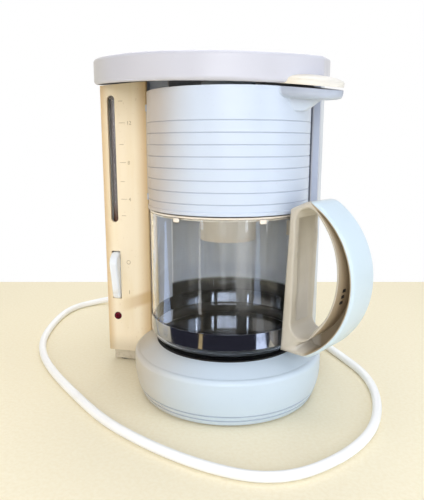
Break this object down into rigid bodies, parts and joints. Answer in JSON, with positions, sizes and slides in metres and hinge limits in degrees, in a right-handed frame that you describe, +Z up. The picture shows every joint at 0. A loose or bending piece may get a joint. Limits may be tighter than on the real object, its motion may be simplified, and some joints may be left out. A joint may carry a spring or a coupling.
{
  "type": "drip coffee maker",
  "caption": "Household drip coffee maker: round base with warming plate, side column with level window, swing-out ribbed filter basket, lid with finger lip, glass carafe with D handle.",
  "frame": {"origin": "on the table, under the vertical brewing axis that the basket, the carafe and the warming plate share", "axes": "+X to the machine's right, +Y to its back, +Z up"},
  "size_m": [0.4101, 0.3916, 0.3262],
  "materials": {
    "white_abs": "satin moulded",
    "yellowed_abs": "satin moulded, yellowed by age",
    "lid_abs": "satin moulded",
    "grey_plinth": "matte moulded",
    "black_enamel": "non-stick coating",
    "black_rubber": "matte",
    "hose_silicone": "matte",
    "element_aluminium": "drawn tube",
    "bright_steel": "drawn",
    "dark_moulding": "matte moulded",
    "tank_plastic": "natural, slightly translucent",
    "clear_gauge": "clear tube",
    "float_brown": "moulded",
    "lamp_red": "polished, translucent",
    "carafe_clear": "blown, polished",
    "band_chrome": "bright plated",
    "handle_beige": "satin moulded",
    "cord_white": "soft extruded sheath",
    "pin_brass": "drawn"
  },
  "bodies": {
    "machine": {"base_housing": "white_abs", "base_plate": "grey_plinth", "hot_plate": "black_enamel", "hot_plate_seal": "black_rubber", "heating_element": "element_aluminium", "element_bracket": "bright_steel", "thermostat": "dark_moulding", "inlet_hose": "hose_silicone", "outlet_hose": "hose_silicone", "check_valve": "dark_moulding", "riser_tube": "tank_plastic", "spray_arm": "white_abs", "terminal_block": "dark_moulding", "tower_shell": "white_abs", "front_panel": "yellowed_abs", "water_tank": "tank_plastic", "level_tube": "clear_gauge", "switch_frame": "dark_moulding", "switch_pin": "bright_steel", "lamp_lens": "lamp_red", "lamp_holder": "dark_moulding", "lid_pin_left": "bright_steel", "lid_pin_right": "bright_steel", "basket_pin": "bright_steel", "strain_relief": "cord_white", "mains_cord": "cord_white", "plug_body": "cord_white", "plug_pin_left": "pin_brass", "plug_pin_right": "pin_brass", "foot_front_left": "black_rubber", "foot_front_right": "black_rubber", "foot_back_left": "black_rubber", "foot_back_right": "black_rubber", "foot_column": "black_rubber"},
    "top_lid": {"lid": "lid_abs"},
    "basket": {"filter_basket": "white_abs", "filter_insert": "tank_plastic"},
    "stopper": {"drip_stop": "dark_moulding"},
    "carafe": {"carafe_glass": "carafe_clear", "carafe_band": "band_chrome", "carafe_handle": "handle_beige", "handle_screw": "bright_steel"},
    "carafe_cover": {"carafe_lid": "handle_beige"},
    "rocker": {"switch_rocker": "white_abs"},
    "gauge_float": {"level_float": "float_brown"}
  },
  "joints": [
    {"name": "lid_hinge", "type": "hinge", "parent": "machine", "child": "top_lid", "pos_m": [0, 0.131, 0.296], "axis": [-1, 0, 0], "range_deg": [0, 95]},
    {"name": "basket_swing", "type": "hinge", "parent": "machine", "child": "basket", "pos_m": [-0.079, 0.02, 0.22], "axis": [0, 0, -1], "range_deg": [0, 95]},
    {"name": "drip_stop_lift", "type": "slide", "parent": "basket", "child": "stopper", "axis": [0, 0, 1], "range_m": [0, 0.004], "stiffness_N_per_m": 200},
    {"name": "carafe_pull", "type": "slide", "parent": "machine", "child": "carafe", "axis": [0, -1, 0], "range_m": [0, 0.26]},
    {"name": "carafe_lid_twist", "type": "hinge", "parent": "carafe", "child": "carafe_cover", "pos_m": [0, 0, 0.173], "axis": [0, 0, 1], "range_deg": [0, 25]},
    {"name": "switch_rock", "type": "hinge", "parent": "machine", "child": "rocker", "pos_m": [-0.1246, 0.036, 0.095], "axis": [-1, 0, 0], "range_deg": [0, 10]},
    {"name": "level_rise", "type": "slide", "parent": "machine", "child": "gauge_float", "axis": [0, 0, 1], "range_m": [0, 0.118]}
  ]
}
